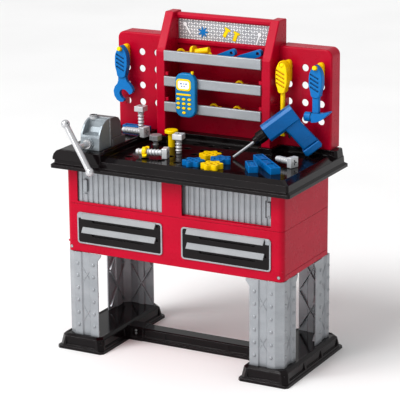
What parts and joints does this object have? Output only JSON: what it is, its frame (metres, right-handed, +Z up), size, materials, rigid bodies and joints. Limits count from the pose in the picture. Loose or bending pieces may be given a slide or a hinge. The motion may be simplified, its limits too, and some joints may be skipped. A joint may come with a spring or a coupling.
{
  "type": "toy workbench",
  "caption": "Child-size toy workbench with sliding-door cabinet, drawers, peg-hole tray top, turning toy vise, pegboard and shelf back wall, and plastic tools and fasteners.",
  "frame": {"origin": "on the floor, under the middle of the whole object's bounding box", "axes": "+X to the right seen from the front, +Y towards the back wall, +Z up"},
  "size_m": [0.7234, 0.418, 0.916],
  "materials": {
    "red": "glossy moulded red",
    "black": "glossy moulded black",
    "silver": "satin silver-grey",
    "vise_grey": "metallic-look silver-grey",
    "vise_dark": "dark grey, slightly brown",
    "chrome_white": "bright silver",
    "blue": "glossy moulded blue",
    "yellow": "glossy moulded yellow",
    "bolt_silver": "satin silver",
    "bolt_grey": "satin grey",
    "label": "printed raised-plate pattern",
    "steel_screw": "zinc plated",
    "phone_blue": "glossy blue",
    "screen": "printed display"
  },
  "bodies": {
    "bench": {"left_foot_rail": "black", "right_foot_rail": "black", "foot_crossbar": "black", "frame_screws": "steel_screw", "leg_front_left": "silver", "leg_front_right": "silver", "leg_rear_left": "silver", "leg_rear_right": "silver", "lower_cabinet": "red", "upper_cabinet": "red", "worktop": "black", "vise_platform": "black", "backboard_left": "red", "backboard_right": "red", "toolbox_frame": "red", "toolbox_handle_bar": "red", "shelf_trays": "red", "shelf_rails": "silver", "tread_plate_label": "label", "tool_hooks": "yellow", "vise_fixed_jaw": "vise_dark", "door_tracks": "red"},
    "left_sliding_door": {"left_door": "silver"},
    "right_sliding_door": {"right_door": "silver"},
    "left_drawer": {"left_drawer_box": "black", "left_drawer_frame": "silver", "left_drawer_pulls": "silver"},
    "right_drawer": {"right_drawer_box": "black", "right_drawer_frame": "silver", "right_drawer_pulls": "silver"},
    "vise_jaw": {"vise_moving_jaw": "vise_grey", "vise_front_plate": "vise_grey", "vise_knob": "vise_grey"},
    "vise_screw": {"vise_spindle": "chrome_white", "vise_tommy_bar": "chrome_white"},
    "drill": {"drill_body": "blue"},
    "trigger": {"drill_trigger": "black"},
    "chuck": {"drill_chuck": "black", "drill_bit": "chrome_white"},
    "wrench": {"toy_wrench": "blue"},
    "hammer": {"toy_hammer": "blue"},
    "screwdriver": {"toy_screwdriver": "yellow"},
    "phone": {"phone_body": "phone_blue", "phone_face": "yellow", "phone_screen": "screen"},
    "wing_bolt": {"long_bolt": "bolt_silver"},
    "wing_nut": {"wing_nut": "yellow"},
    "tall_bolt": {"tall_bolt": "bolt_silver"},
    "lying_bolt": {"lying_bolt": "bolt_silver"},
    "square_bolt": {"square_bolt": "bolt_silver"},
    "round_head_bolt": {"round_head_bolt": "bolt_grey"},
    "nail": {"toy_nail": "yellow"},
    "cross_bolt": {"cross_bolt": "bolt_silver"},
    "gears": {"yellow_gears": "yellow", "blue_gears": "blue"},
    "short_block": {"short_block": "blue"},
    "long_block": {"long_block": "blue"},
    "plank": {"blue_plank": "blue"},
    "bin_fasteners": {"bin_fasteners": "yellow"},
    "bin_handles": {"bin_handles": "blue"}
  },
  "joints": [
    {"name": "left_door_slide", "type": "slide", "parent": "bench", "child": "left_sliding_door", "axis": [1, 0, 0], "range_m": [0, 0.232]},
    {"name": "right_door_slide", "type": "slide", "parent": "bench", "child": "right_sliding_door", "axis": [-1, 0, 0], "range_m": [0, 0.25]},
    {"name": "left_drawer_slide", "type": "slide", "parent": "bench", "child": "left_drawer", "axis": [0, -1, 0], "range_m": [0, 0.15]},
    {"name": "right_drawer_slide", "type": "slide", "parent": "bench", "child": "right_drawer", "axis": [0, -1, 0], "range_m": [0, 0.15]},
    {"name": "vise_jaw_slide", "type": "slide", "parent": "bench", "child": "vise_jaw", "axis": [0, -1, 0], "range_m": [0, 0.02502]},
    {"name": "vise_handle_turn", "type": "hinge", "parent": "vise_jaw", "child": "vise_screw", "pos_m": [-0.254, -0.197, 0.5945], "axis": [0, 1, 0], "range_deg": [0, 720]},
    {"name": "drill_lift", "type": "slide", "parent": "bench", "child": "drill", "axis": [0, -0.8, 0.6], "range_m": [0, 0.08]},
    {"name": "drill_trigger_press", "type": "slide", "parent": "drill", "child": "trigger", "axis": [0.6835, 0.4328, 0.5878], "range_m": [0, 0.004], "stiffness_N_per_m": 300, "springref_m": -0.001},
    {"name": "drill_chuck_spin", "type": "hinge", "parent": "drill", "child": "chuck", "pos_m": [0.1076, 0.0117, 0.562], "axis": [0.6835, 0.4328, 0.5878], "continuous": true},
    {"name": "wrench_lift_off", "type": "slide", "parent": "bench", "child": "wrench", "axis": [0, -0.9659, 0.2588], "range_m": [0, 0.045]},
    {"name": "hammer_lift_off", "type": "slide", "parent": "bench", "child": "hammer", "axis": [0, -0.9659, 0.2588], "range_m": [0, 0.016]},
    {"name": "screwdriver_lift_off", "type": "slide", "parent": "bench", "child": "screwdriver", "axis": [0, -0.9659, 0.2588], "range_m": [0, 0.011]},
    {"name": "phone_lift", "type": "slide", "parent": "bench", "child": "phone", "axis": [0, 0, 1], "range_m": [0, 0.02]},
    {"name": "wing_bolt_lift", "type": "slide", "parent": "bench", "child": "wing_bolt", "axis": [0, 0, 1], "range_m": [0, 0.06]},
    {"name": "wing_nut_turn", "type": "hinge", "parent": "wing_bolt", "child": "wing_nut", "pos_m": [-0.066, -0.064, 0.57255], "axis": [0.9718, 0.2359, 0], "range_deg": [-55, 6]},
    {"name": "tall_bolt_lift", "type": "slide", "parent": "bench", "child": "tall_bolt", "axis": [0, 0, 1], "range_m": [0, 0.06]},
    {"name": "lying_bolt_lift", "type": "slide", "parent": "bench", "child": "lying_bolt", "axis": [0, 0, 1], "range_m": [0, 0.04]},
    {"name": "square_bolt_lift", "type": "slide", "parent": "bench", "child": "square_bolt", "axis": [0, 0, 1], "range_m": [0, 0.06]},
    {"name": "round_head_bolt_lift", "type": "slide", "parent": "bench", "child": "round_head_bolt", "axis": [0, 0, 1], "range_m": [0, 0.05]},
    {"name": "nail_lift", "type": "slide", "parent": "bench", "child": "nail", "axis": [0, 0, 1], "range_m": [0, 0.06]},
    {"name": "cross_bolt_lift", "type": "slide", "parent": "bench", "child": "cross_bolt", "axis": [0, 0, 1], "range_m": [0, 0.02]},
    {"name": "gears_lift", "type": "slide", "parent": "bench", "child": "gears", "axis": [0, 0, 1], "range_m": [0, 0.03]},
    {"name": "short_block_lift", "type": "slide", "parent": "bench", "child": "short_block", "axis": [0, 0, 1], "range_m": [0, 0.05]},
    {"name": "long_block_lift", "type": "slide", "parent": "bench", "child": "long_block", "axis": [0, 0, 1], "range_m": [0, 0.02]},
    {"name": "plank_lift", "type": "slide", "parent": "bench", "child": "plank", "axis": [0, 0, 1], "range_m": [0, 0.03]},
    {"name": "bin_fasteners_lift", "type": "slide", "parent": "bench", "child": "bin_fasteners", "axis": [0, 0, 1], "range_m": [0, 0.02]},
    {"name": "bin_handles_lift", "type": "slide", "parent": "bench", "child": "bin_handles", "axis": [0, 0, 1], "range_m": [0, 0.02]}
  ],
  "couplings": [
    {"joint": "vise_jaw_slide", "follows": "vise_handle_turn", "m_per_rad": 0.0019894}
  ]
}
